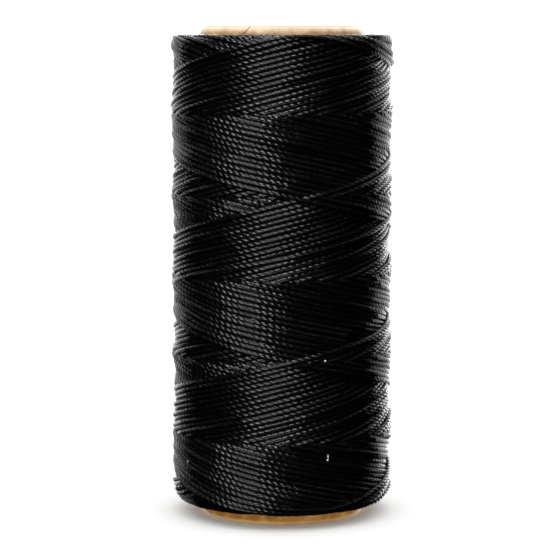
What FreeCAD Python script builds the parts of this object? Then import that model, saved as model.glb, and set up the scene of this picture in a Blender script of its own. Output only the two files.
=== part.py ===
import FreeCAD, Part
import math
import os

# Spool of waxed thread: a spiral-wound paperboard tube that carries a cross-wound pack of
# thread. Millimetres, +Z up, the tube's axis on Z, its lower end on z = 0. Turns are counted
# from the +X side and grow towards +Y. The pack's front faces -Y.

# Tube
tube_height = 100.0
tube_radius = 16.75
upper_rim_round = 2.0
lower_rim_round = 1.05  # the bore's own edges are cut square
kraft_thickness = 0.25
board_thickness = 0.35
liner_thickness = 0.22
board_plies = 5
plies_under_wrap = 2  # the kraft wrap is rolled over both ends of this many board plies
glue_line = 0.04

# Butt seam of each ply, a right-hand spiral
seam_lead = 140.0
seam_gap = 0.3
outer_seam_turn_at_top = -112.6 / 360.0
seam_stagger = 3.0 / 7.0
seam_overrun = 2.0

# Thread pack
pack_low = 2.9
pack_high = 98.3
pack_radius = 22.5
inner_layers_round = 1.6
thread_diameter = 1.0
fit_gap = 0.05

# Outer layer of turns. Rising strokes lie under falling ones. Each stroke is counted in
# quarter turns, and each reversal at the pack's ends takes one more.
double_traverses = 4
rising_quarters = 10
falling_quarters = 11
layer_step = 1.47
reversal_depth = 2.27
first_reversal_turn = 100.0 / 360.0
last_quarter_used = 0.75

# Both ends of the thread dive into the pack
end_bend_radius = 1.2
end_run = thread_diameter
end_pocket_clearance = 0.25

thread_radius = thread_diameter / 2
over_radius = pack_radius - thread_radius
under_radius = over_radius - layer_step
inner_layers_radius = under_radius - thread_radius - fit_gap
pocket_floor_radius = under_radius - end_bend_radius - end_run
line_low = pack_low + thread_radius + reversal_depth
line_high = pack_high - thread_radius - reversal_depth
full_circle = 360
diagonal = math.sqrt(0.5)
up = FreeCAD.Vector(0, 0, 1)
origin = FreeCAD.Vector(0, 0, 0)


def section_point(radius, z):
    return FreeCAD.Vector(radius, 0, z)


def line(start, end):
    return Part.LineSegment(start, end).toShape()


def rounded_ring(inner, outer, low, high, low_round, high_round):
    """A ring about Z whose outer edges are rounded."""
    corners = (
        (inner, low, 0, -1, -1),
        (outer, low, low_round, 1, -1),
        (outer, high, high_round, 1, 1),
        (inner, high, 0, -1, 1),
    )
    edges = []
    ends = []
    for radius, z, rounding, side, end in corners:
        on_wall = section_point(radius, z - end * rounding)
        on_end = section_point(radius - side * rounding, z)
        entry, leave = (on_wall, on_end) if side == end else (on_end, on_wall)
        ends.append((entry, leave))
        if rounding > 0:
            centre = section_point(radius - side * rounding, z - end * rounding)
            middle = centre + section_point(side, end) * (rounding * diagonal)
            edges.append(Part.Arc(entry, middle, leave).toShape())
    for (_, leave), (entry, _) in zip(ends, ends[1:] + ends[:1]):
        edges.append(line(leave, entry))
    profile = Part.Wire(Part.__sortEdges__(edges))
    return Part.Face(profile).revolve(origin, up, full_circle)


def seam_cutter(inner, outer, turn_at_top):
    """A thin spiral blade that cuts one ply's butt seam."""
    height = tube_height + 2 * seam_overrun
    middle = (inner + outer) / 2
    half_width = seam_gap / 2
    reach = glue_line / 2
    helix = Part.makeHelix(seam_lead, height, middle)
    blade = Part.makePolygon(
        [
            section_point(inner - reach, -half_width),
            section_point(outer + reach, -half_width),
            section_point(outer + reach, half_width),
            section_point(inner - reach, half_width),
            section_point(inner - reach, -half_width),
        ]
    )
    cutter = Part.Wire(helix.Edges).makePipeShell([blade], True, True)
    turn_at_start = turn_at_top - (tube_height + seam_overrun) / seam_lead
    cutter.rotate(origin, up, turn_at_start * full_circle)
    cutter.translate(up * -seam_overrun)
    return cutter


def depth_under_wrap(radius, rim_round):
    """How far inside the tube's end the space under the rolled kraft wrap starts."""
    reach = rim_round - kraft_thickness - glue_line
    across = radius - (tube_radius - rim_round)
    return rim_round - math.sqrt(max(reach**2 - across**2, 0))


def spiral_ply(inner, outer, tube_form, covered, turn_at_top):
    """One board or liner strip of the tube: a ring trimmed to the tube's form and split by its seam."""
    low_round, high_round = lower_rim_round, upper_rim_round
    corners = [
        section_point(inner, depth_under_wrap(inner, low_round) if covered else 0),
        section_point(outer, depth_under_wrap(outer, low_round) if covered else 0),
        section_point(outer, tube_height - (depth_under_wrap(outer, high_round) if covered else 0)),
        section_point(inner, tube_height - (depth_under_wrap(inner, high_round) if covered else 0)),
    ]
    ring = Part.Face(Part.makePolygon(corners + corners[:1])).revolve(origin, up, full_circle)
    return ring.common(tube_form).cut(seam_cutter(inner, outer, turn_at_top))


def kraft_wrap(tube_form, bore_radius):
    """The outer strip, rolled in over both rims as far as the board plies that it covers."""
    end_radius = tube_radius - kraft_thickness - plies_under_wrap * (board_thickness + glue_line)
    inside = rounded_ring(
        bore_radius,
        tube_radius - kraft_thickness,
        kraft_thickness,
        tube_height - kraft_thickness,
        lower_rim_round - kraft_thickness,
        upper_rim_round - kraft_thickness,
    )
    wrap = tube_form.cut(inside).cut(Part.makeCylinder(end_radius, tube_height))
    return wrap.cut(seam_cutter(end_radius, tube_radius, outer_seam_turn_at_top))


def tube_plies():
    """Node name to solid, from the outer wrap in to the liner, and the bore's radius."""
    layers = [(f"board_ply_{number}", board_thickness) for number in range(board_plies, 0, -1)]
    layers.append(("inner_liner_ply", liner_thickness))
    wall = kraft_thickness + sum(thickness + glue_line for _, thickness in layers)
    bore_radius = tube_radius - wall
    tube_form = rounded_ring(
        bore_radius, tube_radius, 0, tube_height, lower_rim_round, upper_rim_round
    )
    plies = {"outer_kraft_ply": kraft_wrap(tube_form, bore_radius)}
    outer = tube_radius - kraft_thickness - glue_line
    for number, (name, thickness) in enumerate(layers, 1):
        covered = number <= plies_under_wrap
        turn_at_top = outer_seam_turn_at_top + number * seam_stagger
        plies[name] = spiral_ply(outer - thickness, outer, tube_form, covered, turn_at_top)
        outer -= thickness + glue_line
    return plies, bore_radius


def station(turn, radius, z, rise_per_turn):
    """A point of the thread's path and its heading there."""
    angle = 2 * math.pi * turn
    point = FreeCAD.Vector(radius * math.cos(angle), radius * math.sin(angle), z)
    slope = rise_per_turn / (2 * math.pi * radius)
    heading = FreeCAD.Vector(-math.sin(angle), math.cos(angle), slope).normalize()
    return point, heading


def winding_stations():
    """The path's points, a quarter turn apart, up and down the pack without a break."""
    quarter = 0.25
    rise = (line_high - line_low) / rising_quarters
    fall = (line_high - line_low) / falling_quarters
    turn = first_reversal_turn
    stations = [station(turn, under_radius, line_low - reversal_depth, 0)]
    turn += quarter / 2
    for _ in range(double_traverses):
        for number in range(rising_quarters + 1):
            z = line_low + number * rise
            stations.append(station(turn, under_radius, z, rise / quarter))
            turn += quarter
        for number in range(falling_quarters + 1):
            z = line_high - number * fall
            stations.append(station(turn, over_radius, z, -fall / quarter))
            turn += quarter
    # The last stroke stops short of its reversal, midway between two crossings
    unused = 1 - last_quarter_used
    last_turn = turn - quarter - unused * quarter
    stations[-1] = station(last_turn, over_radius, line_low + unused * fall, -fall / quarter)
    return stations


def loops_in(stations):
    """Turns in the path. Only its first and last stretch are less than a quarter turn."""
    whole_quarters = len(stations) - 3
    return (whole_quarters + 0.5 + last_quarter_used) / 4


def arc_leaving(start, heading, end):
    """The arc that leaves start along heading and reaches end, as its middle point."""
    chord = end - start
    across = chord - heading * chord.dot(heading)
    centre = start + across * (chord.Length**2 / (2 * across.Length**2))
    spoke = (start - centre).normalize() + (end - centre).normalize()
    return centre + spoke.normalize() * (start - centre).Length


def biarc(start, start_heading, end, end_heading):
    """Two arcs that join two stations with no kink."""
    chord = end - start
    turning = 2 * (1 - start_heading.dot(end_heading))
    along = chord.dot(start_heading + end_heading)
    reach = (math.sqrt(along**2 + turning * chord.dot(chord)) - along) / turning
    joint = (start + end + (start_heading - end_heading) * reach) * 0.5
    first_middle = arc_leaving(start, start_heading, joint)
    second_middle = arc_leaving(end, -end_heading, joint)
    return [
        Part.Arc(start, first_middle, joint).toShape(),
        Part.Arc(joint, second_middle, end).toShape(),
    ]


def outward_at(point):
    return FreeCAD.Vector(point.x, point.y, 0).normalize()


def dive(point, away):
    """The bend and straight end that take the thread from point down to its pocket's floor.

    away is the direction along the thread from point towards its end.
    """
    outward = outward_at(point)
    foot = point + away * end_bend_radius - outward * end_bend_radius
    centre = point - outward * end_bend_radius
    middle = centre + (outward + away) * (end_bend_radius * diagonal)
    straight = outward.dot(foot) - pocket_floor_radius
    floor = foot - outward * straight
    return foot, middle, floor


def pocket(point, away):
    """The space in the inner layers that takes a diving end of the thread."""
    outward = outward_at(point)
    across = outward.cross(away)
    half = thread_radius + end_pocket_clearance
    length = end_bend_radius + 2 * half
    depth = pack_radius - pocket_floor_radius
    corner = point + away * (end_bend_radius + half) - across * half
    corner += outward * (pocket_floor_radius - outward.dot(corner))
    sides = [
        corner,
        corner + across * (2 * half),
        corner + across * (2 * half) - away * length,
        corner - away * length,
        corner,
    ]
    return Part.Face(Part.makePolygon(sides)).extrude(outward * depth)


def winding_path(stations):
    """The thread's centre line, from the floor of one pocket to the floor of the other."""
    start, start_heading = stations[0]
    end, end_heading = stations[-1]
    foot, middle, floor = dive(start, -start_heading)
    edges = [line(floor, foot), Part.Arc(foot, middle, start).toShape()]
    for (here, heading), (there, next_heading) in zip(stations, stations[1:]):
        edges.extend(biarc(here, heading, there, next_heading))
    foot, middle, floor = dive(end, end_heading)
    edges.append(Part.Arc(end, middle, foot).toShape())
    edges.append(line(foot, floor))
    return Part.Wire(edges)


def wound_thread(path):
    """One unbroken round thread along the path."""
    edge = path.Edges[0]
    start = edge.valueAt(edge.FirstParameter)
    heading = edge.tangentAt(edge.FirstParameter)
    section = Part.Wire(Part.makeCircle(thread_radius, start, heading))
    shell = Part.BRepOffsetAPI.MakePipeShell(path)
    shell.add(section)
    shell.build()
    shell.makeSolid()
    return Part.Solid(shell.shape())


def least_gap(path):
    """The least clear space between stretches of the thread that lie apart along it."""
    spacing = 0.4
    own_stretch = 4 * thread_diameter
    sectors = 40
    points = path.discretize(Distance=spacing)
    by_sector = [[] for _ in range(sectors)]
    for number, point in enumerate(points):
        sector = int((math.atan2(point.y, point.x) / (2 * math.pi) % 1) * sectors) % sectors
        by_sector[sector].append((number * spacing, point.x, point.y, point.z))
    nearest = math.inf
    for sector in range(sectors):
        beside = by_sector[sector] + by_sector[(sector + 1) % sectors]
        for along, x, y, z in by_sector[sector]:
            for other_along, other_x, other_y, other_z in beside:
                if abs(z - other_z) < nearest and abs(along - other_along) > own_stretch:
                    distance = math.dist((x, y, z), (other_x, other_y, other_z))
                    nearest = min(nearest, distance)
    return nearest - thread_diameter


def thread_nodes():
    """The thread's inner layers as one plain ring, and its outer layer as wound."""
    stations = winding_stations()
    path = winding_path(stations)
    winding = wound_thread(path)
    section_times_length = math.pi * thread_radius**2 * path.Length
    print(f"outer winding: {loops_in(stations):.2f} loops, {path.Length:.0f} mm of thread")
    print(f"outer winding: least gap to itself {least_gap(path):.3f} mm")
    print(f"outer winding: volume {winding.Volume:.1f}, section x length {section_times_length:.1f}")
    corner = inner_layers_round
    inner_layers = rounded_ring(
        tube_radius + fit_gap, inner_layers_radius, pack_low, pack_high, corner, corner
    )
    start, start_heading = stations[0]
    end, end_heading = stations[-1]
    inner_layers = inner_layers.cut(pocket(start, -start_heading))
    inner_layers = inner_layers.cut(pocket(end, end_heading))
    return {"thread_inner_layers": inner_layers, "thread_outer_winding": winding}


def main():
    os.makedirs("parts", exist_ok=True)
    nodes, bore_radius = tube_plies()
    print(f"bore radius {bore_radius:.3f} mm")
    nodes.update(thread_nodes())
    for name, shape in nodes.items():
        solid = shape.Solids[0]
        solid.exportStep(f"parts/{name}.step")
        box = solid.optimalBoundingBox(False, False)
        print(
            f"{name}: solids {len(shape.Solids)}, valid {solid.isValid()}, "
            f"volume {solid.Volume:.1f}, r {box.XMax:.2f}, z {box.ZMin:.2f} to {box.ZMax:.2f}"
        )


main()
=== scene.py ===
# Waxed thread spool: black three-strand waxed thread cross-wound on a spiral paper tube.
# Lengths in the dictionaries are millimetres unless a note says otherwise. Meshes are made in metres.
import math

import bpy
import numpy as np
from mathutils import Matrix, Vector


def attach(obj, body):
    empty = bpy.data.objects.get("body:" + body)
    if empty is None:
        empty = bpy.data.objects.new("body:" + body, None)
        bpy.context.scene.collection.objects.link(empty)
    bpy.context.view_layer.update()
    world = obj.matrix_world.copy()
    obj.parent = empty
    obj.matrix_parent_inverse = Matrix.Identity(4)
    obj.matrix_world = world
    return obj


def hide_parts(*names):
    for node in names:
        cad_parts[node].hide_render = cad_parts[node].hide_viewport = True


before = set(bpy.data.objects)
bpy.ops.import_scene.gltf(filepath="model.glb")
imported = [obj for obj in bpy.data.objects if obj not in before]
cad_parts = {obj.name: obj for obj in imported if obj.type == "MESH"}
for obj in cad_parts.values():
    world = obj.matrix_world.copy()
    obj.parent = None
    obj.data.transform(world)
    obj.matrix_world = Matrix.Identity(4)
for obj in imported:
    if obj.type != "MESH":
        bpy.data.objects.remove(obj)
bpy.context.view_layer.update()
mm = 0.001
scene = bpy.context.scene


def linearColour(hexColour):
    parts = [int(hexColour[i : i + 2], 16) / 255 for i in (1, 3, 5)]
    return tuple(p / 12.92 if p <= 0.04045 else ((p + 0.055) / 1.055) ** 2.4 for p in parts) + (1.0,)


def addNode(tree, kind, settings=None, links=None):
    # links: socket name or number -> a value, or (node, its output's name or number)
    made = tree.nodes.new(kind)
    for name, value in (settings or {}).items():
        setattr(made, name, value)
    for socket, value in (links or {}).items():
        if isinstance(value, tuple) and isinstance(value[0], bpy.types.Node):
            tree.links.new(value[0].outputs[value[1]], made.inputs[socket])
        else:
            made.inputs[socket].default_value = value
    return made


def newMaterial(name):
    made = bpy.data.materials.new(name)
    made.use_nodes = True
    made.node_tree.nodes.clear()
    return made, made.node_tree


def finishMaterial(tree, shader):
    addNode(tree, "ShaderNodeOutputMaterial", links={"Surface": (shader, 0)})


def setRamp(node, stops):
    ramp = node.color_ramp
    while len(ramp.elements) < len(stops):
        ramp.elements.new(0.5)
    for element, (place, colour) in zip(ramp.elements, stops):
        element.position = place
        element.color = linearColour(colour)


def deselectAll():
    bpy.ops.object.select_all(action="DESELECT")


# Camera, floor and lights

view = {
    "distance": 463.0,
    "height": 100.0,  # level with the tube's top rim, which shows as a line
    "pitchDown": 6.423,  # degrees
    "focal": 145.4,
    "sensor": 36.0,
    "aside": -0.4,
}
studio = {
    "roomLight": 1.5,  # strength of the white room
    "floorRadius": 6.0,  # metres
    "aimHeight": 0.05,  # metres; the lights point at the pack's middle
}

cameraData = bpy.data.cameras.new("photoCamera")
cameraData.lens = view["focal"]
cameraData.sensor_width = view["sensor"]
cameraData.clip_start = 0.01
camera = bpy.data.objects.new("photoCamera", cameraData)
scene.collection.objects.link(camera)
camera.location = (view["aside"] * mm, -view["distance"] * mm, view["height"] * mm)
camera.rotation_euler = (math.radians(90 - view["pitchDown"]), 0, 0)
scene.camera = camera

world = bpy.data.worlds.new("studio")
scene.world = world
world.use_nodes = True
world.node_tree.nodes.clear()
room = addNode(
    world.node_tree, "ShaderNodeBackground", links={0: (1.0, 1.0, 1.0, 1.0), 1: studio["roomLight"]}
)
addNode(world.node_tree, "ShaderNodeOutputWorld", links={0: (room, 0)})
world.cycles_visibility.glossy = False  # the wax reflects the softboxes alone, against a dark room
scene.view_settings.view_transform = "Standard"


def paleFloorMaterial():
    # matt white board: even, with a faint tooth
    made, tree = newMaterial("matt_white_board")
    place = addNode(tree, "ShaderNodeTexCoord")
    tooth = addNode(
        tree,
        "ShaderNodeTexNoise",
        links={"Vector": (place, "Object"), "Scale": 900.0, "Detail": 3.0},
    )
    tone = addNode(tree, "ShaderNodeValToRGB", links={0: (tooth, 0)})
    setRamp(tone, [(0.0, "#FAFAF9"), (1.0, "#FDFDFD")])
    shader = addNode(
        tree, "ShaderNodeBsdfPrincipled", links={"Base Color": (tone, 0), "Roughness": 0.8}
    )
    shader.inputs["Specular IOR Level"].default_value = 0.1
    finishMaterial(tree, shader)
    return made


deselectAll()
bpy.ops.mesh.primitive_circle_add(
    vertices=64, radius=studio["floorRadius"], fill_type="NGON", location=(0, 0, 0)
)
floor = bpy.context.object
floor.name = "floor"
floor.data.materials.append(paleFloorMaterial())
floor.visible_glossy = False

lights = {
    # name: (degrees round from the camera to its right, degrees up, metres away, width, height, watts)
    "frontSoftbox": (-26, 44, 1.0, 0.25, 0.90, 14.5),
    "backdrop": (180, -3, 0.9, 1.40, 0.80, 10.5),
    "rightRim": (155, 8, 0.9, 0.50, 1.20, 4.0),
    "rearSoftbox": (180, 3, 1.0, 0.25, 0.60, 10.0),  # lights the spool's back, unseen from the front
    "topRim": (180, 55, 0.9, 1.40, 0.50, 9.0),  # catches the threads that turn over the upper edge
}
aim = Vector((0, 0, studio["aimHeight"]))
# the white room alone lights the floor, so that the spool's shadow is soft and close all round
notTheFloor = bpy.data.collections.new("notTheFloor")
notTheFloor.objects.link(floor)
notTheFloor.collection_objects[0].light_linking.link_state = "EXCLUDE"
for name, (turned, up, away, width, height, watts) in lights.items():
    lampData = bpy.data.lights.new(name, "AREA")
    lampData.shape = "RECTANGLE"
    lampData.size = width
    lampData.size_y = height
    lampData.energy = watts
    lamp = bpy.data.objects.new(name, lampData)
    scene.collection.objects.link(lamp)
    bearing = math.radians(turned)
    rise = math.radians(up)
    outward = (math.sin(bearing) * math.cos(rise), -math.cos(bearing) * math.cos(rise), math.sin(rise))
    lamp.location = aim + away * Vector(outward)
    lamp.rotation_euler = (aim - lamp.location).to_track_quat("-Z", "Y").to_euler()
    lamp.visible_camera = False
    lamp.light_linking.receiver_collection = notTheFloor
    lamp.light_linking.blocker_collection = notTheFloor
print("camera, floor and lights done")


# The winding. A real pack is one thread laid to and fro, so it is laid here as a winder does, cycle
# by cycle, on a map of the pack's radius. Mesh code makes it, because no primitive has its path.

winding = {
    "tubeRadius": 16.75,
    "packRadius": 22.05,
    "packLow": 2.9,
    "packHigh": 98.3,
    "lowEdge": (2.1, 3.0),  # rounding of the pack's edges: how far in, how far up
    "highEdge": (1.3, 1.3),
    "lead": 32.58,  # rise in one turn; each cycle lands one thread's width from the one before
    "lowCorner": 1.39,  # where the straight strokes would meet, low and high
    "highCorner": 98.6,
    "lowRound": 46 / 360,  # a reversal is rounded this far each way, in turns
    "highRound": 26 / 360,
    "lowSettle": (3.4, 4.1),  # where a reversal's middle may settle
    "highSettle": (97.0, 97.75),
    "settleReach": 0.17,  # turns each way that a settled reversal moves
    "settleSteps": 40,  # samples each way over which the pile under a reversal is weighed
    "settleTries": 8,
    "settlePull": 0.12,  # how strongly a reversal keeps to the pack's face
    "cycles": 112,
    "shownCycles": 33,  # the newest ones, made as whole thread
    "lastCornerAngle": 4.2,  # degrees to the right of the front, where the last cycle ends
    "ringTilt": 0.3,  # the crossings stand this much higher at the right than at the left
    "seed": 11,
    "wander": 0.05,
    "wanderSteps": 90,  # samples that the wander is smoothed over
    "calmLow": 3,  # tilt and wander fade out towards these heights
    "calmHigh": 97.3,
    "calmReach": 10,
    "layHalfWidth": 0.52,
    "layHalfHeight": 0.37,  # threads bed into each other, so a layer is under a thread thick
    "stepsPerTurn": 320,
    "rowHeight": 0.2,
    "rows": 501,
    "mapSpan": (-0.1, 100.1),  # half a row past the first row and the last
    "evenRows": (150, 350),  # rows well away from the reversals
    "coverRows": 3,  # rows each way that one thread can cover
    "leadIn": 30,  # samples looked at on both sides of a stretch
    "chunkTurns": 0.9,  # laid at a time, under a turn so that no stretch lies on itself
    "tautPasses": 2,
    "tautReaches": (1, 2, 3, 4, 6, 8, 11, 14, 18, 22, 28),  # samples each way of the chords
    # the last stroke: (turns from its start, height), up the pack and round to the back
    "lastStroke": [(-0.05, 3.8), (0.05, 3.9), (0.12, 5.5), (0.25, 9.5), (0.76, 26.2), (1.05, 35.6),
                   (1.206, 39.1), (1.75, 47.9), (1.857, 51.2), (1.935, 53.1), (2.041, 56.0), (2.21, 61.0),
                   (2.47, 68.0)],
    "strokeSmoothing": 48,  # samples
    "strokeMargin": 40,
    "joinSteps": 40,  # samples over which the last cycle runs into the last stroke
    "tuckDepth": 1.1,  # the thread's end is tucked in by this
    "tuckSteps": 25,
    "profileMargins": (0.4, 0.5),  # inside the pack's two faces, where its profile is measured
    "levelWidths": (26, 25),  # map cells round the pack and up it that the levelling averages
    "leastDepth": 0.3,
    "relief": 0.55,  # how much of the laid hills and hollows is left once the thread has bedded in
}

w = winding
steps = w["stepsPerTurn"]
strokeTurns = (w["highCorner"] - w["lowCorner"]) / w["lead"]
cornerCount = 2 * w["cycles"] + 1
laidSamples = int(round(2 * w["cycles"] * strokeTurns * steps))
tailSamples = int(round(w["lastStroke"][-1][0] * steps))
allSamples = laidSamples + tailSamples
lastCornerColumn = int(round(w["lastCornerAngle"] / 360 * steps))
columnOffset = (lastCornerColumn - laidSamples) % steps
sampleTurns = np.arange(allSamples) / steps
sampleColumns = (np.arange(allSamples) + columnOffset) % steps
sampleAngles = sampleColumns / steps * 2 * math.pi
rng = np.random.default_rng(w["seed"])


def smoothNoise(count, width):
    window = np.hanning(width + 2)[1:-1]
    noise = np.convolve(rng.standard_normal(count + width), window / np.sqrt((window**2).sum()), "same")
    return noise[:count]


wander = w["wander"] * smoothNoise(allSamples, w["wanderSteps"])
settled = np.zeros(cornerCount + 1)
keyTurns, keyHeights = np.array(w["lastStroke"]).T
margin = w["strokeMargin"]
tailTurns = np.arange(-margin, tailSamples + 2 * margin) / steps
tailWindow = np.hanning(w["strokeSmoothing"])
tailHeights = np.convolve(np.interp(tailTurns, keyTurns, keyHeights), tailWindow / tailWindow.sum(), "same")
tailHeights = tailHeights[margin : margin + tailSamples]


def naturalCorner(corner):
    if corner % 2 == 0:
        return w["lowCorner"] + w["lead"] * w["lowRound"] / 2
    return w["highCorner"] - w["lead"] * w["highRound"] / 2


def heightOf(samples, slip=None):
    turn = sampleTurns[samples]
    corner = np.minimum(np.rint(turn / strokeTurns).astype(int), cornerCount - 1)
    away = turn - corner * strokeTurns
    run = np.abs(away)
    rounding = np.where(corner % 2 == 0, w["lowRound"], w["highRound"])
    run = np.where(run < rounding, (run**2 + rounding**2) / (2 * rounding), run)
    z = np.where(corner % 2 == 0, w["lowCorner"] + run * w["lead"], w["highCorner"] - run * w["lead"])
    moved = settled[corner] if slip is None else slip
    z = z + moved * np.cos(np.clip(away / w["settleReach"], -1, 1) * math.pi / 2) ** 2
    tail = samples >= laidSamples
    if tail.any():
        blend = np.clip((samples[tail] - laidSamples) / w["joinSteps"], 0, 1)
        blend = blend * blend * (3 - 2 * blend)
        z[tail] = z[tail] * (1 - blend) + tailHeights[samples[tail] - laidSamples] * blend
    fade = np.clip(np.minimum(z - w["calmLow"], w["calmHigh"] - z) / w["calmReach"], 0, 1)
    return z + (w["ringTilt"] * np.sin(sampleAngles[samples]) + wander[samples]) * fade


def edgeRounding(inside, edge):
    # how far in the pack's rounded edge lies, this far inside its end
    depth, height = edge
    left = np.clip(1 - inside / height, 0, 1)
    return depth * (1 - np.sqrt(1 - left**2))


def packProfile(z):
    # radius of the pack's outside at a height
    low = edgeRounding(z - w["packLow"], w["lowEdge"])
    high = edgeRounding(w["packHigh"] - z, w["highEdge"])
    return w["packRadius"] - low - high


packMap = np.full((steps, w["rows"]), w["tubeRadius"])
reachRows = np.arange(-w["coverRows"], w["coverRows"] + 1)
evenRows = slice(*w["evenRows"])
rowHeights = np.arange(w["rows"]) * w["rowHeight"]

# Threads crowd where they turn back. There each is laid thinner, which stands for the way they slip
# down over the pack's edge, so that the pack stays level to its ends.
passes = np.histogram(heightOf(np.arange(laidSamples)), bins=w["rows"], range=w["mapSpan"])[0]
spread = np.sqrt(np.clip(1 - (reachRows * w["rowHeight"] / w["layHalfWidth"]) ** 2, 0, 1))
passes = np.convolve(passes, spread, "same")
crowding = np.maximum(passes / passes[evenRows].mean(), 1)
bedding = (packProfile(rowHeights) - w["tubeRadius"]) / (w["packRadius"] - w["tubeRadius"]) / crowding


def rowsUnder(z):
    row = z / w["rowHeight"]
    nearest = np.rint(row).astype(int)
    aside = (nearest[:, None] + reachRows - row[:, None]) * w["rowHeight"]
    halfHeight = w["layHalfHeight"] * np.interp(z, rowHeights, bedding)[:, None]
    cover = halfHeight * np.sqrt(np.clip(1 - (aside / w["layHalfWidth"]) ** 2, 0, 1))
    return np.clip(nearest[:, None] + reachRows, 0, w["rows"] - 1), cover, np.abs(aside) < w["layHalfWidth"]


def restingRadius(samples, z):
    rows, cover, touching = rowsUnder(z)
    below = packMap[sampleColumns[samples][:, None], rows] + cover
    return np.where(touching, below, 0).max(axis=1)


def pulledTaut(radius):
    # a thread under tension bridges a hollow: no point lies under the chord of its neighbours
    for _ in range(w["tautPasses"]):
        for reach in w["tautReaches"]:
            if 2 * reach < len(radius):
                chord = (radius[2 * reach :] + radius[: -2 * reach]) / 2
                chord = chord * math.cos(2 * math.pi * reach / steps)
                radius[reach:-reach] = np.maximum(radius[reach:-reach], chord)
    return radius


laidHeights = np.zeros(allSamples)
laidRadii = np.zeros(allSamples)


def layThread(first, last):
    before = min(w["leadIn"], first)
    samples = np.arange(first - before, min(last + w["leadIn"], allSamples))
    z = heightOf(samples)
    radius = restingRadius(samples, z)
    radius[:before] = laidRadii[first - before : first]
    radius = pulledTaut(radius)
    own = slice(before, before + last - first)
    laidHeights[first:last] = z[own]
    laidRadii[first:last] = radius[own]
    rows, cover, touching = rowsUnder(z[own])
    top = radius[own][:, None] + cover
    columns = np.broadcast_to(sampleColumns[first:last][:, None], rows.shape)
    np.maximum.at(packMap, (columns[touching], rows[touching]), top[touching])


def settleCorner(corner):
    # the thread slips to where the pile is lowest
    middle = int(round(corner * strokeTurns * steps))
    reach = w["settleSteps"]
    near = np.arange(max(middle - reach, 0), min(middle + reach + 1, laidSamples))
    low, high = w["lowSettle"] if corner % 2 == 0 else w["highSettle"]
    outer = low if corner % 2 == 0 else high
    best = None
    for place in np.linspace(low, high, w["settleTries"]):
        slip = place - naturalCorner(corner)
        pile = restingRadius(near, heightOf(near, slip)).mean() + w["settlePull"] * abs(place - outer)
        if best is None or pile < best[0]:
            best = (pile, slip)
    settled[corner] = best[1]


chunk = int(w["chunkTurns"] * steps)
position = 0
lowerMap = None
firstCycle = w["cycles"] - w["shownCycles"]
firstShown = int(round(2 * firstCycle * strokeTurns * steps))
for corner in range(cornerCount):
    settleCorner(corner)
    end = min(int(round((corner + 0.5) * strokeTurns * steps)), laidSamples)
    while position < end:
        if lowerMap is None and position >= firstShown:
            lowerMap = packMap.copy()
        stop = min(position + chunk, end)
        layThread(position, stop)
        position = stop
while position < allSamples:
    stop = min(position + chunk, allSamples)
    layThread(position, stop)
    position = stop
middleRows = packMap[:, evenRows]
print("thread laid: %d cycles, pack radius %.2f to %.2f, mean %.2f mm"
      % (w["cycles"], middleRows.min(), middleRows.max(), middleRows.mean()))


def blurred(values, widthRound, widthUp):
    # widths in map cells; round the pack it wraps, and past the ends it repeats the last row
    up = np.hanning(widthUp * 2 + 1)[1:-1]
    side = np.hanning(widthRound * 2 + 1)[1:-1]
    grown = np.pad(values, ((widthRound - 1, widthRound - 1), (0, 0)), mode="wrap")
    grown = np.pad(grown, ((0, 0), (widthUp - 1, widthUp - 1)), mode="edge")
    grown = np.apply_along_axis(lambda line: np.convolve(line, side / side.sum(), "valid"), 0, grown)
    return np.apply_along_axis(lambda line: np.convolve(line, up / up.sum(), "valid"), 1, grown)


# The laid radii are brought to the pack's profile: broad hills and hollows are levelled, and the
# steps where the newest threads lie over the older ones stay.
lowMargin, highMargin = w["profileMargins"]
lowRow = round((w["packLow"] + lowMargin) / w["rowHeight"])  # the rows between the reversals' middles
highRow = round((w["packHigh"] - highMargin) / w["rowHeight"])
level = blurred(packMap[:, lowRow : highRow + 1], *w["levelWidths"])
heightsKept = rowHeights[lowRow : highRow + 1]
laidDepth = np.maximum(level - w["tubeRadius"], w["leastDepth"])
factor = (packProfile(heightsKept) - w["tubeRadius"]) / laidDepth


def toProfile(radius, z, columns):
    row = np.clip(z / w["rowHeight"] - lowRow, 0, highRow - lowRow - 1e-6)
    under = row.astype(int)
    part = row - under
    above = np.minimum(under + 1, highRow - lowRow)
    here = factor[columns, under] * (1 - part) + factor[columns, above] * part
    radius = w["tubeRadius"] + (radius - w["tubeRadius"]) * here
    outside = packProfile(z)
    # the outer layers bed in; deeper down the compression fades, so that the first layers stay on the tube
    share = np.clip((radius - w["tubeRadius"]) / (outside - w["tubeRadius"]), 0, 1) ** 3
    return radius + (outside - radius) * (1 - w["relief"]) * share


threadRadii = toProfile(laidRadii, laidHeights, sampleColumns)
tuckStart = allSamples - w["tuckSteps"] - 1
endTuck = np.clip((np.arange(allSamples) - tuckStart) / w["tuckSteps"], 0, 1)
threadRadii = threadRadii - w["tuckDepth"] * endTuck * endTuck * (3 - 2 * endTuck)
threadPoints = np.stack(
    [threadRadii * np.sin(sampleAngles), -threadRadii * np.cos(sampleAngles), laidHeights], axis=1
)
stepLengths = np.linalg.norm(np.diff(threadPoints, axis=0), axis=1)
threadRun = np.concatenate([[0], np.cumsum(stepLengths)])
print("thread length %.1f m" % (threadRun[-1] * mm))


# The thread: three strands laid together with a right-hand twist, waxed and bedded slightly flat

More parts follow.
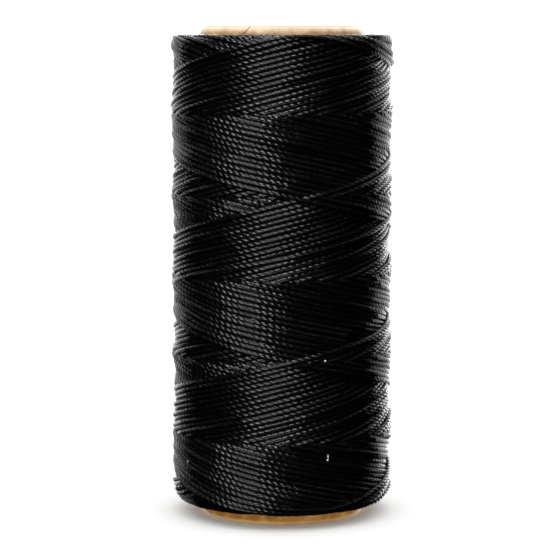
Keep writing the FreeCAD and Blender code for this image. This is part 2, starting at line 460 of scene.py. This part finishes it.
thread = {
    "strandOffset": 0.17,
    "strandRadius": 0.36,  # the strands are pressed flat against each other
    "groove": 0.37,  # radius at the bottom of the groove between two strands
    "pointsFromCrown": (0, 36, 60, 84),  # degrees round from one strand's crown; the third is the groove
    "lay": 4.1,  # length of one whole twist
    "flat": 0.9,  # height over width
    "filamentLength": 1.6,
    "filamentsRound": 36.0,  # about 0.08 mm each, drawn coarser than real ones so that they show
    # the maps for baking: margins at a map's side and between its rows, and the dots of the two ends
    "mapSide": 0.002,
    "mapWidth": 0.996,
    "rowMargin": 0.04,
    "rowWidth": 0.92,
    "dotRadius": 0.0005,
    "dotPlace": (0.001, 0.02),
}

around = np.radians([120 * strand + place for strand in range(3) for place in thread["pointsFromCrown"]])
fromStrand = (around + math.pi / 3) % (2 * math.pi / 3) - math.pi / 3
section = thread["strandOffset"] * np.cos(fromStrand) + np.sqrt(
    thread["strandRadius"] ** 2 - (thread["strandOffset"] * np.sin(fromStrand)) ** 2
)
section[2 :: len(thread["pointsFromCrown"])] = thread["groove"]


def unit(vectors):
    return vectors / np.linalg.norm(vectors, axis=1, keepdims=True)


def threadRings(first, last):
    centre = threadPoints[first:last]
    ahead = threadPoints[np.minimum(np.arange(first, last) + 1, allSamples - 1)]
    behind = threadPoints[np.maximum(np.arange(first, last) - 1, 0)]
    along = unit(ahead - behind)
    outward = np.stack([np.sin(sampleAngles[first:last]), -np.cos(sampleAngles[first:last]),
                        np.zeros(last - first)], axis=1)
    outward = unit(outward - along * (outward * along).sum(axis=1, keepdims=True))
    aside = np.cross(along, outward)
    turned = around[None, :] - threadRun[first:last, None] * 2 * math.pi / thread["lay"]
    ring = (
        np.cos(turned)[:, :, None] * aside[:, None, :]
        + np.sin(turned)[:, :, None] * outward[:, None, :] * thread["flat"]
    )
    return centre[:, None, :] + ring * section[None, :, None]


def threadMesh(name, runs, bakeRows):
    # runs: (first, last) samples of each stretch; every stretch is a closed tube
    points = len(around)
    share = np.append(around / (2 * math.pi), 1.0)
    corners, faces, flat, runMap, bakeMap = [], [], [], [], []
    start = 0
    total = sum(last - first - 1 for first, last in runs)
    perRow = math.ceil(total / bakeRows)
    laid = 0
    nextPoint = (np.arange(points) + 1) % points
    for first, last in runs:
        rings = last - first
        corners.append(threadRings(first, last).reshape(-1, 3))
        own = np.arange(rings - 1)[:, None] * points + np.arange(points)[None, :]
        beside = np.arange(rings - 1)[:, None] * points + nextPoint[None, :]
        quads = np.stack([own, own + points, beside + points, beside], axis=2).reshape(-1, 4) + start
        faces.extend(quads.tolist())
        flat.extend([False] * len(quads))
        # the filaments' map runs straight along the thread, while the strands wind round it
        along = (threadRun[first:last] - threadRun[first]) * mm
        u0 = np.repeat(along[:-1], points)
        u1 = np.repeat(along[1:], points)
        v0 = np.tile(share[:-1], rings - 1)
        v1 = np.tile(share[1:], rings - 1)
        back0 = u0 / (thread["lay"] * mm)
        back1 = u1 / (thread["lay"] * mm)
        runCorners = [u0, v0 - back0, u1, v0 - back1, u1, v1 - back1, u0, v1 - back0]
        runMap.append(np.stack(runCorners, axis=1).reshape(-1, 2))
        segment = laid + np.arange(rings - 1)
        row = np.repeat(segment // perRow, points)
        column = np.repeat(segment % perRow, points)
        s0 = thread["mapSide"] + thread["mapWidth"] * column / perRow
        s1 = thread["mapSide"] + thread["mapWidth"] * (column + 1) / perRow
        t0 = (row + thread["rowMargin"] + thread["rowWidth"] * v0) / bakeRows
        t1 = (row + thread["rowMargin"] + thread["rowWidth"] * v1) / bakeRows
        bakeMap.append(np.stack([s0, t0, s1, t0, s1, t1, s0, t1], axis=1).reshape(-1, 2))
        for ring, order in ((0, 1), (rings - 1, -1)):
            faces.append([start + ring * points + int(i) for i in np.arange(points)[::order]])
            flat.append(True)
            runMap.append(np.stack([np.full(points, along[ring]), share[:-1][::order]], axis=1))
            dot = thread["dotRadius"] * np.stack([np.cos(around), np.sin(around)], axis=1)
            bakeMap.append(dot[::order] + [thread["dotPlace"][0], thread["dotPlace"][1] / bakeRows])
        laid += rings - 1
        start += rings * points
    made = bpy.data.meshes.new(name)
    made.from_pydata((np.concatenate(corners) * mm).tolist(), [], faces)
    made.polygons.foreach_set("use_smooth", ~np.array(flat))
    for mapName, values in (("threadRun", runMap), ("OFBake", bakeMap)):
        layer = made.uv_layers.new(name=mapName)
        layer.uv.foreach_set("vector", np.concatenate(values).astype(np.float32).ravel())
    made.update()
    piece = bpy.data.objects.new(name, made)
    scene.collection.objects.link(piece)
    return piece


def waxedThreadMaterial():
    # bonded polyester thread run through wax: near black, low satin sheen that breaks up along the
    # filaments, a little duller where the wax is thin
    made, tree = newMaterial("waxed_polyester_thread")
    run = addNode(tree, "ShaderNodeUVMap", {"uv_map": "threadRun"})
    place = addNode(tree, "ShaderNodeTexCoord")
    filamentScale = (1 / (thread["filamentLength"] * mm), thread["filamentsRound"], 1.0)
    grain = addNode(tree, "ShaderNodeMapping", links={"Vector": (run, 0), "Scale": filamentScale})
    filaments = addNode(
        tree,
        "ShaderNodeTexNoise",
        links={"Vector": (grain, 0), "Scale": 1.0, "Detail": 2.0, "Roughness": 0.6},
    )
    waxCoat = addNode(
        tree,
        "ShaderNodeTexNoise",
        links={"Vector": (place, "Object"), "Scale": 1 / (2.4 * mm), "Detail": 3.0},
    )
    colour = addNode(tree, "ShaderNodeValToRGB", links={0: (filaments, 0)})
    setRamp(colour, [(0.25, "#010101"), (0.8, "#050506")])
    gloss = addNode(
        tree,
        "ShaderNodeMapRange",
        links={"Value": (waxCoat, 0), "From Min": 0.3, "From Max": 0.7, "To Min": 0.27, "To Max": 0.35},
    )
    # the grooves between the strands are cut sharper than the mesh alone gives
    parts = addNode(tree, "ShaderNodeSeparateXYZ", links={0: (run, 0)})
    strands = addNode(tree, "ShaderNodeMath", {"operation": "MULTIPLY"}, {0: (parts, 1), 1: 3.0})
    fromCrown = addNode(tree, "ShaderNodeMath", {"operation": "PINGPONG"}, {0: (strands, 0), 1: 0.5})
    twice = addNode(tree, "ShaderNodeMath", {"operation": "MULTIPLY"}, {0: (fromCrown, 0), 1: 2.0})
    groove = addNode(tree, "ShaderNodeMath", {"operation": "POWER"}, {0: (twice, 0), 1: 5.0})
    strandEdge = addNode(
        tree,
        "ShaderNodeBump",
        {"invert": True},
        {"Height": (groove, 0), "Strength": 1.0, "Distance": 0.10 * mm},
    )
    relief = addNode(
        tree,
        "ShaderNodeBump",
        links={
            "Height": (filaments, 0),
            "Strength": 0.2,
            "Distance": 0.03 * mm,
            "Normal": (strandEdge, 0),
        },
    )
    # filaments lie along the thread, so a light is drawn out across it
    grainWay = addNode(tree, "ShaderNodeTangent", {"direction_type": "UV_MAP", "uv_map": "threadRun"})
    shader = addNode(
        tree,
        "ShaderNodeBsdfPrincipled",
        links={
            "Base Color": (colour, 0),
            "Roughness": (gloss, 0),
            "Normal": (relief, 0),
            "Tangent": (grainWay, 0),
            "Anisotropic": 0.75,
            "Anisotropic Rotation": 0.25,
            "IOR": 1.46,
            "Specular IOR Level": 0.5,
        },
    )
    finishMaterial(tree, shader)
    return made


threadPieces = {
    "cyclesEach": 3,
    "turnsBakeRows": 28,
    "reversalsBakeRows": 26,
    "reversalTurns": 0.11,  # of an older cycle, each way from where it turns back
}

waxedThread = waxedThreadMaterial()
cyclesEach = threadPieces["cyclesEach"]
pieceCount = w["shownCycles"] // cyclesEach
for number in range(pieceCount):
    cycleStart = firstCycle + number * cyclesEach
    first = int(round(2 * cycleStart * strokeTurns * steps))
    last = int(round(2 * (cycleStart + cyclesEach) * strokeTurns * steps)) + 1
    if number == pieceCount - 1:
        last = allSamples
    piece = threadMesh("thread_turns_%02d" % (number + 1), [(first, last)], threadPieces["turnsBakeRows"])
    piece.data.materials.append(waxedThread)
    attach(piece, "root")
    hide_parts("thread_outer_winding")
print("newest turns made")

# Of the older cycles only the reversals show, in the pack's two end faces
reversalReach = int(threadPieces["reversalTurns"] * steps)
for name, side in (("thread_low_reversals", 0), ("thread_high_reversals", 1)):
    runs = []
    for corner in range(side, 2 * firstCycle, 2):
        middle = int(round(corner * strokeTurns * steps))
        first = max(middle - reversalReach, 0)
        runs.append((first, middle + reversalReach))
    piece = threadMesh(name, runs, threadPieces["reversalsBakeRows"])
    piece.data.materials.append(waxedThread)
    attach(piece, "root")
    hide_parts("thread_inner_layers")
print("older reversals made")


# Shavings of dried wax that stick to the thread

waxShavings = {
    # (degrees right of the front, height, half length, half width, lean in degrees)
    "places": [(24.3, 14.4, 0.95, 0.17, 8), (29.8, 53.7, 0.40, 0.13, 4), (-60.0, 12.0, 0.45, 0.15, 20),
               (21.9, 34.2, 0.22, 0.18, 60), (152.0, 61.0, 0.35, 0.12, -25)],
    "thickness": 0.07,
    "curl": 0.12,  # how far the middle stands off its ends
    "taper": 0.5,
    "onThread": 0.44,  # from the thread's centre line to its outside
    "newestTurns": 24,  # only these can lie outermost
    "searchSteps": 2,
    "searchHeight": 0.8,
    "besideThread": 0.5,  # inside the pack's radius, where no thread is found
}


def driedWaxMaterial():
    # flakes of beeswax: cream, dull, a little cloudy
    made, tree = newMaterial("dried_wax")
    place = addNode(tree, "ShaderNodeTexCoord")
    clouds = addNode(
        tree,
        "ShaderNodeTexNoise",
        links={"Vector": (place, "Object"), "Scale": 1 / (0.4 * mm), "Detail": 3.0},
    )
    tone = addNode(tree, "ShaderNodeValToRGB", links={0: (clouds, 0)})
    setRamp(tone, [(0.35, "#8F8B83"), (0.65, "#C9C5BC")])
    shader = addNode(
        tree,
        "ShaderNodeBsdfPrincipled",
        links={"Base Color": (tone, 0), "Roughness": 0.55, "IOR": 1.44, "Specular IOR Level": 0.4},
    )
    finishMaterial(tree, shader)
    return made


newest = slice(allSamples - waxShavings["newestTurns"] * steps, allSamples)
shavings = []
for turned, height, length, width, lean in waxShavings["places"]:
    deselectAll()
    bpy.ops.mesh.primitive_ico_sphere_add(subdivisions=3, radius=1.0)
    shaving = bpy.context.object
    column = round(turned / 360 * steps) % steps
    sameColumn = np.abs(sampleColumns[newest] - column) <= waxShavings["searchSteps"]
    near = sameColumn & (np.abs(laidHeights[newest] - height) < waxShavings["searchHeight"])
    bare = w["packRadius"] - waxShavings["besideThread"]
    under = threadRadii[newest][near].max() if near.any() else bare
    bearing = math.radians(turned)
    leaning = math.radians(lean)
    for vertex in shaving.data.vertices:
        x, y, z = vertex.co
        bent = waxShavings["curl"] * (1 - z * z) + waxShavings["thickness"] * y
        x, z = x * width * (1 - waxShavings["taper"] * z * z), z * length
        x, z = (
            x * math.cos(leaning) + z * math.sin(leaning),
            z * math.cos(leaning) - x * math.sin(leaning),
        )
        radius = under + waxShavings["onThread"] + bent
        angle = bearing + x / radius
        vertex.co = Vector((radius * math.sin(angle), -radius * math.cos(angle), height + z)) * mm
    shavings.append(shaving)
deselectAll()
for shaving in shavings:
    shaving.select_set(True)
bpy.context.view_layer.objects.active = shavings[0]
bpy.ops.object.join()
shaving = bpy.context.object
shaving.name = "wax_shavings"
shaving.data.name = "wax_shavings"
bpy.ops.object.mode_set(mode="EDIT")
bpy.ops.mesh.select_all(action="SELECT")
bpy.ops.mesh.normals_make_consistent(inside=False)
bpy.ops.object.mode_set(mode="OBJECT")
bpy.ops.object.shade_smooth()
shaving.data.materials.append(driedWaxMaterial())
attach(shaving, "root")
print("wax shavings made")


# The layers under the shown thread, as one dark ring with the laid threads' own relief

lowerLayers = {
    "columns": 160,
    "rowStep": 0.4,
    "inset": 0.25,
    "endInset": 0.7,
    "leastDepth": 0.3,
    "tubeGap": 0.05,
    "threadPitch": 1.07,
}


def lowerLayersMesh():
    columns = lowerLayers["columns"]
    every = steps // columns
    low = w["packLow"] + lowerLayers["endInset"]
    high = w["packHigh"] - lowerLayers["endInset"]
    heights = np.arange(low, high, lowerLayers["rowStep"])
    rows = []
    for z in heights:
        at = int(round(z / w["rowHeight"]))
        columnsHere = np.arange(0, steps, every)
        radius = toProfile(lowerMap[::every, at], np.full(columns, z), columnsHere) - lowerLayers["inset"]
        rows.append(np.maximum(radius, w["tubeRadius"] + lowerLayers["leastDepth"]))
    angles = np.arange(columns) / columns * 2 * math.pi
    bore = np.full(columns, w["tubeRadius"] + lowerLayers["tubeGap"])
    rings = [(bore, low)] + list(zip(rows, heights)) + [(bore, heights[-1])]
    verts = []
    for radius, z in rings:
        level = np.full(columns, z)
        verts.append(np.stack([radius * np.sin(angles), -radius * np.cos(angles), level], axis=1))
    count = len(rings)
    nextColumn = (np.arange(columns) + 1) % columns
    faces = []
    for ring in range(count):
        other = (ring + 1) % count
        a = ring * columns + np.arange(columns)
        b = ring * columns + nextColumn
        c = other * columns + nextColumn
        d = other * columns + np.arange(columns)
        faces.extend(np.stack([a, b, c, d], axis=1).tolist())
    made = bpy.data.meshes.new("thread_lower_layers")
    made.from_pydata((np.concatenate(verts) * mm).tolist(), [], faces)
    made.polygons.foreach_set("use_smooth", np.ones(len(faces), bool))
    made.update()
    piece = bpy.data.objects.new("thread_lower_layers", made)
    scene.collection.objects.link(piece)
    return piece


def lowerThreadMaterial():
    # the same waxed thread in the shade of the gaps: black, no gloss to speak of
    made, tree = newMaterial("waxed_thread_in_shade")
    place = addNode(tree, "ShaderNodeTexCoord")
    # a wave texture repeats every 2 pi / 20 of its own scale
    stripeScale = 1 / (lowerLayers["threadPitch"] * mm) / 20 * math.pi * 2
    stripes = addNode(
        tree,
        "ShaderNodeTexWave",
        {"wave_type": "BANDS", "bands_direction": "Z"},
        {"Vector": (place, "Object"), "Scale": stripeScale, "Distortion": 2.0},
    )
    colour = addNode(tree, "ShaderNodeValToRGB", links={0: (stripes, 1)})
    setRamp(colour, [(0.0, "#030303"), (1.0, "#0A0A0B")])
    relief = addNode(
        tree, "ShaderNodeBump", links={"Height": (stripes, 1), "Strength": 0.6, "Distance": 0.1 * mm}
    )
    shader = addNode(
        tree,
        "ShaderNodeBsdfPrincipled",
        links={
            "Base Color": (colour, 0),
            "Normal": (relief, 0),
            "Roughness": 0.7,
            "Specular IOR Level": 0.2,
        },
    )
    finishMaterial(tree, shader)
    return made


piece = lowerLayersMesh()
piece.data.materials.append(lowerThreadMaterial())
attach(piece, "root")
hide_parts("thread_inner_layers")
print("lower layers made")


# The paper tube: the CAD plies stay and get their paper finishes

paper = {
    "plyPitch": 0.39,
    "linerOuter": 14.51,
    "halfGlue": 0.02,
    # heights between which each stain, wear, pale edge or painted shade comes in
    # painted shade next to the pack, strongest at the pack's top
    "shadeNearPack": (99.5, 98.3),
    "wornRim": (98.6, 99.5),
    "stainedFoot": (6.0, 2.0),
    "paleFootEdge": (1.1, 0.3),
}


def heightRange(name):
    low, high = paper[name]
    return {"From Min": low * mm, "From Max": high * mm}


def kraftPaperMaterial():
    # brown kraft wrap: satin, mottled with glue stains, paler and fuzzy where the rim is worn, with painted
    # shade towards the pack
    made, tree = newMaterial("kraft_paper_wrap")
    place = addNode(tree, "ShaderNodeTexCoord")
    stains = addNode(
        tree,
        "ShaderNodeTexNoise",
        links={"Vector": (place, "Object"), "Scale": 1 / (3.2 * mm), "Detail": 4.0, "Roughness": 0.6},
    )
    fibreStretch = addNode(
        tree, "ShaderNodeMapping", links={"Vector": (place, "Object"), "Scale": (1.0, 1.0, 2.5)}
    )
    fibres = addNode(
        tree,
        "ShaderNodeTexNoise",
        links={"Vector": (fibreStretch, 0), "Scale": 1 / (0.35 * mm), "Detail": 3.0, "Roughness": 0.7},
    )
    tone = addNode(tree, "ShaderNodeValToRGB", links={0: (stains, 0)})
    setRamp(tone, [(0.3, "#83592C"), (0.5, "#9E8158"), (0.68, "#B0997A")])
    flecks = addNode(tree, "ShaderNodeValToRGB", links={0: (fibres, 0)})
    setRamp(flecks, [(0.3, "#8A6236"), (0.55, "#FFFFFF")])
    parts = addNode(tree, "ShaderNodeSeparateXYZ", links={0: (place, "Object")})
    # painted shade: the paper is darkened towards the pack, where the pack's top shades the tube
    shadeNearPackMask = addNode(
        tree,
        "ShaderNodeMapRange",
        {"interpolation_type": "SMOOTHSTEP"},
        {"Value": (parts, "Z"), **heightRange("shadeNearPack")},
    )
    shadedNearPack = addNode(
        tree,
        "ShaderNodeMix",
        {"data_type": "RGBA", "blend_type": "MULTIPLY"},
        {0: (shadeNearPackMask, 0), 6: (tone, 0), 7: linearColour("#E3D9C6")},
    )
    mixed = addNode(
        tree,
        "ShaderNodeMix",
        {"data_type": "RGBA", "blend_type": "MULTIPLY"},
        {0: 0.35, 6: (shadedNearPack, 2), 7: (flecks, 0)},
    )
    # worn rim: over the top 1.4 mm the brown skin is rubbed pale
    worn = addNode(
        tree,
        "ShaderNodeMapRange",
        links={"Value": (parts, "Z"), **heightRange("wornRim")},
    )
    rubbed = addNode(
        tree, "ShaderNodeMath", {"operation": "MULTIPLY"}, {0: (worn, 0), 1: (stains, 0)}
    )
    rubbedMore = addNode(
        tree, "ShaderNodeMath", {"operation": "MULTIPLY", "use_clamp": True}, {0: (rubbed, 0), 1: 1.7}
    )
    faded = addNode(
        tree,
        "ShaderNodeMix",
        {"data_type": "RGBA"},
        {0: (rubbedMore, 0), 6: (mixed, 2), 7: linearColour("#A0927F")},
    )
    # the foot is stained a deep amber by handling and glue
    foot = addNode(
        tree,
        "ShaderNodeMapRange",
        {"interpolation_type": "SMOOTHSTEP"},
        {"Value": (parts, "Z"), **heightRange("stainedFoot")},
    )
    glueTone = addNode(tree, "ShaderNodeValToRGB", links={0: (stains, 0)})
    setRamp(glueTone, [(0.36, "#B07018"), (0.5, "#C98C28"), (0.64, "#DFAC58")])
    amber = addNode(
        tree,
        "ShaderNodeMix",
        {"data_type": "RGBA", "blend_type": "MULTIPLY"},
        {0: 0.4, 6: (glueTone, 0), 7: (flecks, 0)},
    )
    # its lowest millimetre is mixed towards a pale tan
    paleFootMask = addNode(
        tree,
        "ShaderNodeMapRange",
        {"interpolation_type": "SMOOTHSTEP"},
        {"Value": (parts, "Z"), **heightRange("paleFootEdge"), "To Max": 0.75},
    )
    paledFoot = addNode(
        tree,
        "ShaderNodeMix",
        {"data_type": "RGBA"},
        {0: (paleFootMask, 0), 6: (amber, 2), 7: linearColour("#E6C795")},
    )
    stained = addNode(
        tree, "ShaderNodeMix", {"data_type": "RGBA"}, {0: (foot, 0), 6: (faded, 2), 7: (paledFoot, 2)}
    )
    relief = addNode(
        tree, "ShaderNodeBump", links={"Height": (fibres, 0), "Strength": 0.5, "Distance": 0.05 * mm}
    )
    shader = addNode(
        tree,
        "ShaderNodeBsdfPrincipled",
        links={
            "Base Color": (stained, 2),
            "Normal": (relief, 0),
            "Roughness": 0.5,
            "Specular IOR Level": 0.4,
            "Sheen Weight": 0.2,  # loose fibres, seen along the surface
            "Sheen Roughness": 0.4,
        },
    )
    finishMaterial(tree, shader)
    return made


def coreBoardMaterial():
    # recycled core board: matt tan, fibre flecks, a darker glue line at each ply's faces
    made, tree = newMaterial("recycled_core_board")
    place = addNode(tree, "ShaderNodeTexCoord")
    fibres = addNode(
        tree,
        "ShaderNodeTexNoise",
        links={"Vector": (place, "Object"), "Scale": 1 / (0.3 * mm), "Detail": 4.0, "Roughness": 0.7},
    )
    tone = addNode(tree, "ShaderNodeValToRGB", links={0: (fibres, 0)})
    setRamp(tone, [(0.3, "#85755F"), (0.5, "#9C9280"), (0.7, "#AFA797")])
    flat = addNode(
        tree, "ShaderNodeVectorMath", {"operation": "MULTIPLY"}, {0: (place, "Object"), 1: (1, 1, 0)}
    )
    radius = addNode(tree, "ShaderNodeVectorMath", {"operation": "LENGTH"}, {0: (flat, 0)})
    plies = addNode(
        tree,
        "ShaderNodeMapRange",
        {"clamp": False},
        {
            "Value": (radius, "Value"),
            "From Min": (paper["linerOuter"] + paper["halfGlue"]) * mm,
            "From Max": (paper["linerOuter"] + paper["halfGlue"] + paper["plyPitch"]) * mm,
        },
    )
    within = addNode(tree, "ShaderNodeMath", {"operation": "PINGPONG"}, {0: (plies, 0), 1: 0.5})
    glueLine = addNode(
        tree, "ShaderNodeMapRange", links={"Value": (within, 0), "From Min": 0.04, "From Max": 0.2}
    )
    lined = addNode(
        tree,
        "ShaderNodeMix",
        {"data_type": "RGBA"},
        {0: (glueLine, 0), 6: linearColour("#7A5A34"), 7: (tone, 0)},
    )
    relief = addNode(
        tree, "ShaderNodeBump", links={"Height": (fibres, 0), "Strength": 0.8, "Distance": 0.08 * mm}
    )
    shader = addNode(
        tree,
        "ShaderNodeBsdfPrincipled",
        links={
            "Base Color": (lined, 2),
            "Normal": (relief, 0),
            "Roughness": 0.85,
            "Specular IOR Level": 0.25,
        },
    )
    finishMaterial(tree, shader)
    return made


def linerPaperMaterial():
    # inner liner: plain brown paper, dull, with long fibres
    made, tree = newMaterial("plain_liner_paper")
    place = addNode(tree, "ShaderNodeTexCoord")
    stretched = addNode(
        tree, "ShaderNodeMapping", links={"Vector": (place, "Object"), "Scale": (1.0, 1.0, 0.4)}
    )
    fibres = addNode(
        tree,
        "ShaderNodeTexNoise",
        links={"Vector": (stretched, 0), "Scale": 1 / (0.5 * mm), "Detail": 5.0, "Roughness": 0.7},
    )
    tone = addNode(tree, "ShaderNodeValToRGB", links={0: (fibres, 0)})
    setRamp(tone, [(0.3, "#8C6B43"), (0.7, "#B8956A")])
    relief = addNode(
        tree, "ShaderNodeBump", links={"Height": (fibres, 0), "Strength": 0.5, "Distance": 0.05 * mm}
    )
    shader = addNode(
        tree,
        "ShaderNodeBsdfPrincipled",
        links={
            "Base Color": (tone, 0),
            "Normal": (relief, 0),
            "Roughness": 0.75,
            "Specular IOR Level": 0.3,
        },
    )
    finishMaterial(tree, shader)
    return made


kraftPaper = kraftPaperMaterial()
coreBoard = coreBoardMaterial()
linerPaper = linerPaperMaterial()
tubeFinish = {"outer_kraft_ply": kraftPaper, "inner_liner_ply": linerPaper}
for name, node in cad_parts.items():
    if name.endswith("_ply") or name.startswith("board_ply"):
        node.data.materials.clear()
        node.data.materials.append(tubeFinish.get(name, coreBoard))
print("tube finished")
